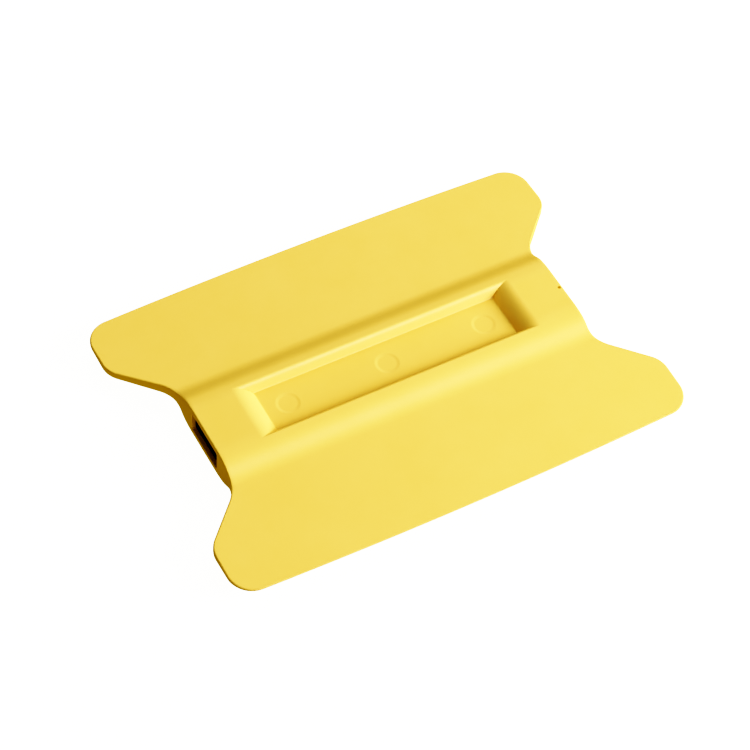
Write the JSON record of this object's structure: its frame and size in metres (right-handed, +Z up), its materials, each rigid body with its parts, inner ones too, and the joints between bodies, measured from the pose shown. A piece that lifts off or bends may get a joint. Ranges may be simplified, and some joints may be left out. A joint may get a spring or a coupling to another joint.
{
  "type": "squeegee applicator",
  "caption": "Butterfly-shaped two-edged plastic squeegee for laying film, with a thick recessed grip, thin flexible blades and end magnets.",
  "frame": {"origin": "under the middle of the grip, on the surface that the tool lies on", "axes": "+X along the grip and the blade edges, +Y towards the back blade, +Z up through the grip's thickness"},
  "size_m": [0.15, 0.1066, 0.0112],
  "materials": {
    "yellow_plastic": "fine matt moulded, semi-flexible",
    "ferrite": "ground, dark grey"
  },
  "bodies": {
    "grip": {"grip": "yellow_plastic", "left_magnet": "ferrite", "right_magnet": "ferrite"},
    "front_blade": {"front_blade": "yellow_plastic"},
    "back_blade": {"back_blade": "yellow_plastic"}
  },
  "joints": [
    {"name": "front_blade_flex", "type": "hinge", "parent": "grip", "child": "front_blade", "pos_m": [0, -0.0203, 0.0056], "axis": [1, 0, 0], "range_deg": [-8, 8], "stiffness_Nm_per_rad": 8},
    {"name": "back_blade_flex", "type": "hinge", "parent": "grip", "child": "back_blade", "pos_m": [0, 0.0203, 0.0056], "axis": [1, 0, 0], "range_deg": [-8, 8], "stiffness_Nm_per_rad": 8}
  ]
}
